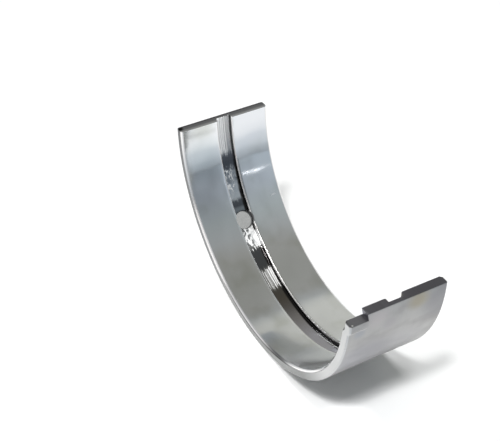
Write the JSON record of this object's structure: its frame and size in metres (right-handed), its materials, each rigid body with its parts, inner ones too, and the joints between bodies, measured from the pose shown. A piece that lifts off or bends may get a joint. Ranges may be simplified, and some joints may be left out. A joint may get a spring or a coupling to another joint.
{
  "type": "engine bearing shell",
  "caption": "Half shell of a plain main bearing: thin half ring with a lined bore, a full oil groove with a drilled oil hole, and a locating tang pressed out at one joint face.",
  "frame": {"origin": "on the bearing axis, midway along the shell's width, in the plane of the joint faces", "axes": "+Y along the bearing axis, +Z out of the joint faces towards the other half, +X towards the joint face that has the tang"},
  "size_m": [0.0645, 0.0196, 0.032],
  "materials": {
    "shell_metal": "satin lining in the bore, turned groove, plain rolled back"
  },
  "bodies": {
    "root": {"bearing_shell": "shell_metal"}
  },
  "joints": []
}
